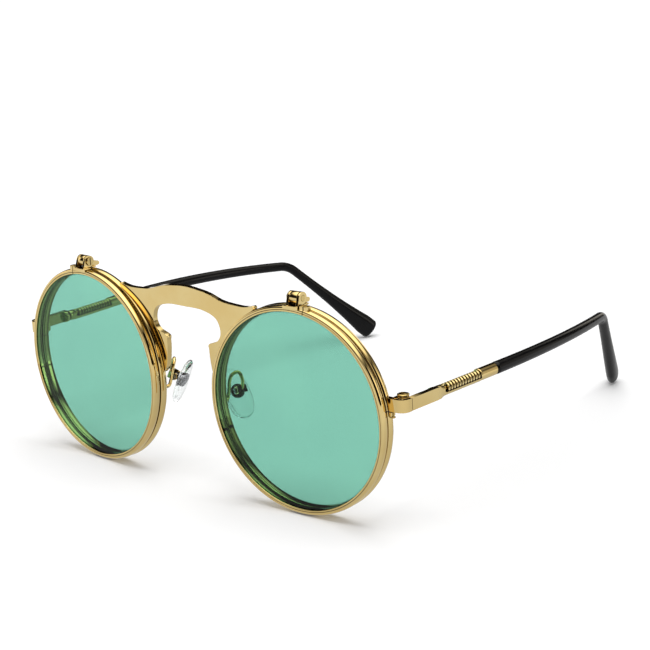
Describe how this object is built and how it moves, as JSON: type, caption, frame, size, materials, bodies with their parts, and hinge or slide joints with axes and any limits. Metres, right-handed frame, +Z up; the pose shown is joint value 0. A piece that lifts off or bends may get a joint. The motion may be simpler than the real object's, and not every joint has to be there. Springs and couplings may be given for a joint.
{
  "type": "flip up sunglasses",
  "caption": "Round flip up sunglasses: gold wire rims and keyhole bridge plate, tinted fronts that lift on brow hinges, folding spring temples and nose pads.",
  "frame": {"origin": "middle of the outline, on the surface that the rims and ear tips stand on", "axes": "+X is the wearer's left, +Y runs back along the temples, +Z is up"},
  "size_m": [0.1348, 0.1288, 0.0551],
  "materials": {
    "polished_gold": "polished gold plating",
    "gold_screw": "gold plated steel",
    "spring_gold": "polished gold spring wire",
    "green_lens": "tinted green lens",
    "clear_lens": "clear lens",
    "black_acetate": "glossy black",
    "clear_silicone": "clear silicone",
    "pad_metal": "satin steel"
  },
  "bodies": {
    "frame": {"bridge_plate": "polished_gold", "rear_rim_left": "polished_gold", "rear_rim_right": "polished_gold", "clear_lens_left": "clear_lens", "clear_lens_right": "clear_lens", "flip_knuckle_left": "polished_gold", "flip_knuckle_right": "polished_gold", "endpiece_left": "polished_gold", "endpiece_right": "polished_gold", "rim_lock_screw_left": "gold_screw", "rim_lock_screw_right": "gold_screw", "temple_hinge_screw_left": "gold_screw", "temple_hinge_screw_right": "gold_screw", "pad_arm_left": "polished_gold", "pad_arm_right": "polished_gold"},
    "flip_left": {"flip_rim_left": "polished_gold", "tinted_lens_left": "green_lens", "flip_clevis_left": "polished_gold", "flip_hinge_screw_left": "gold_screw", "flip_lock_screw_left": "gold_screw"},
    "flip_right": {"flip_rim_right": "polished_gold", "tinted_lens_right": "green_lens", "flip_clevis_right": "polished_gold", "flip_hinge_screw_right": "gold_screw", "flip_lock_screw_right": "gold_screw"},
    "temple_left": {"temple_bar_left": "polished_gold", "temple_core_left": "gold_screw", "spring_collar_left": "gold_screw", "temple_spring_left": "spring_gold", "spring_ferrule_left": "polished_gold", "tip_sleeve_left": "black_acetate"},
    "temple_right": {"temple_bar_right": "polished_gold", "temple_core_right": "gold_screw", "spring_collar_right": "gold_screw", "temple_spring_right": "spring_gold", "spring_ferrule_right": "polished_gold", "tip_sleeve_right": "black_acetate"},
    "pad_left": {"nose_pad_left": "clear_silicone", "pad_core_left": "pad_metal", "pad_screw_left": "pad_metal"},
    "pad_right": {"nose_pad_right": "clear_silicone", "pad_core_right": "pad_metal", "pad_screw_right": "pad_metal"}
  },
  "joints": [
    {"name": "flip_left", "type": "hinge", "parent": "frame", "child": "flip_left", "pos_m": [0.03705, -0.06045, 0.0536], "axis": [-0.9977, -0.068, 0], "range_deg": [0, 105]},
    {"name": "flip_right", "type": "hinge", "parent": "frame", "child": "flip_right", "pos_m": [-0.03705, -0.06045, 0.0536], "axis": [-0.9977, 0.068, 0], "range_deg": [0, 105]},
    {"name": "temple_left", "type": "hinge", "parent": "frame", "child": "temple_left", "pos_m": [0.06309, -0.05509, 0.0311], "axis": [0, 0, 1], "range_deg": [0, 80]},
    {"name": "temple_right", "type": "hinge", "parent": "frame", "child": "temple_right", "pos_m": [-0.06309, -0.05509, 0.0311], "axis": [0, 0, -1], "range_deg": [0, 73]},
    {"name": "pad_left", "type": "hinge", "parent": "frame", "child": "pad_left", "pos_m": [0.01148, -0.05568, 0.02526], "axis": [0.352, 0.935, 0.043], "range_deg": [-8, 8]},
    {"name": "pad_right", "type": "hinge", "parent": "frame", "child": "pad_right", "pos_m": [-0.01148, -0.05568, 0.02526], "axis": [-0.352, 0.935, 0.043], "range_deg": [-8, 8]}
  ]
}
